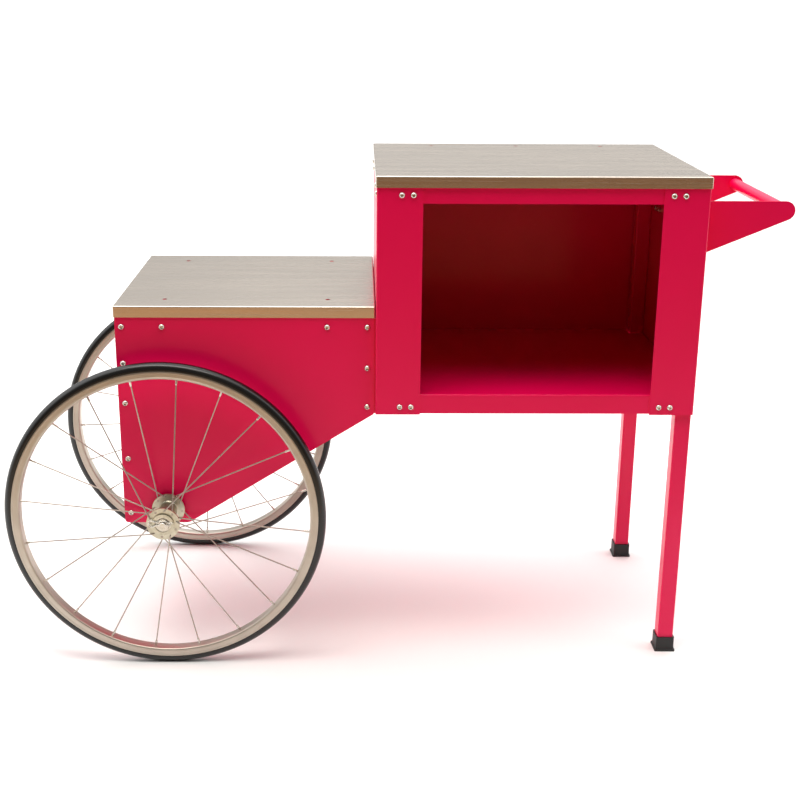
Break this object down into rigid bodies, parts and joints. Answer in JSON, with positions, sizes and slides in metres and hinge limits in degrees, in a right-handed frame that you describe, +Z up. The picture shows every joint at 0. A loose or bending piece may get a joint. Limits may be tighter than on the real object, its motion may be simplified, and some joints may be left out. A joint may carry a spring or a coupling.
{
  "type": "popcorn cart",
  "caption": "Two-level popcorn cart: painted cabinet on legs with a push handle, stainless decks, and a V-shaped body on large spoked wheels.",
  "frame": {"origin": "on the floor, at the middle of the cart's bounding box", "axes": "+X from the wheels to the handle, -Y the open front of the cabinet, +Z up"},
  "size_m": [1.3907, 0.6166, 0.889],
  "materials": {
    "crimson_paint": "gloss powder coat, hot pink red",
    "stainless": "brushed along the length, satin",
    "zinc": "bright zinc plate",
    "alloy": "satin anodised",
    "spoke_steel": "drawn stainless wire",
    "tyre_rubber": "smooth black rubber",
    "foot_rubber": "moulded black rubber"
  },
  "bodies": {
    "cart": {"axle": "zinc", "axle_clips": "zinc", "axle_spacers": "zinc", "axle_tube": "crimson_paint", "axle_washers": "zinc", "body_bulkhead": "crimson_paint", "body_front_panel": "crimson_paint", "body_nose": "crimson_paint", "body_nuts": "zinc", "body_rear_panel": "crimson_paint", "body_screws": "zinc", "bulkhead_nuts": "zinc", "bulkhead_screws": "zinc", "cabinet_back": "crimson_paint", "cabinet_back_screws": "zinc", "cabinet_floor": "crimson_paint", "cabinet_front_screws": "zinc", "cabinet_front_top_rail": "crimson_paint", "cabinet_left_side": "crimson_paint", "cabinet_nuts": "zinc", "cabinet_rear_top_rail": "crimson_paint", "cabinet_right_side": "crimson_paint", "cabinet_side_screws": "zinc", "deck_nuts": "zinc", "deck_studs": "zinc", "front_axle_plate": "crimson_paint", "front_handle_plate": "crimson_paint", "front_leg": "crimson_paint", "front_leg_foot": "foot_rubber", "handle_bolts": "zinc", "handle_nuts": "zinc", "handle_tube": "crimson_paint", "leg_bolts": "zinc", "leg_nuts": "zinc", "lower_deck": "stainless", "lower_left_channel": "crimson_paint", "lower_right_channel": "crimson_paint", "rear_axle_plate": "crimson_paint", "rear_handle_plate": "crimson_paint", "rear_leg": "crimson_paint", "rear_leg_foot": "foot_rubber", "upper_deck": "stainless", "upper_front_channel": "crimson_paint", "upper_rear_channel": "crimson_paint"},
    "front_wheel": {"front_bearing_balls": "zinc", "front_bearing_rings": "zinc", "front_hub_shell": "alloy", "front_nipples": "zinc", "front_rim": "alloy", "front_spokes": "spoke_steel", "front_tyre": "tyre_rubber"},
    "rear_wheel": {"rear_bearing_balls": "zinc", "rear_bearing_rings": "zinc", "rear_hub_shell": "alloy", "rear_nipples": "zinc", "rear_rim": "alloy", "rear_spokes": "spoke_steel", "rear_tyre": "tyre_rubber"}
  },
  "joints": [
    {"name": "front_wheel_spin", "type": "hinge", "parent": "cart", "child": "front_wheel", "pos_m": [-0.40877, -0.26335, 0.2866], "axis": [0, 1, 0], "continuous": true},
    {"name": "rear_wheel_spin", "type": "hinge", "parent": "cart", "child": "rear_wheel", "pos_m": [-0.40877, 0.26335, 0.2866], "axis": [0, 1, 0], "continuous": true}
  ]
}
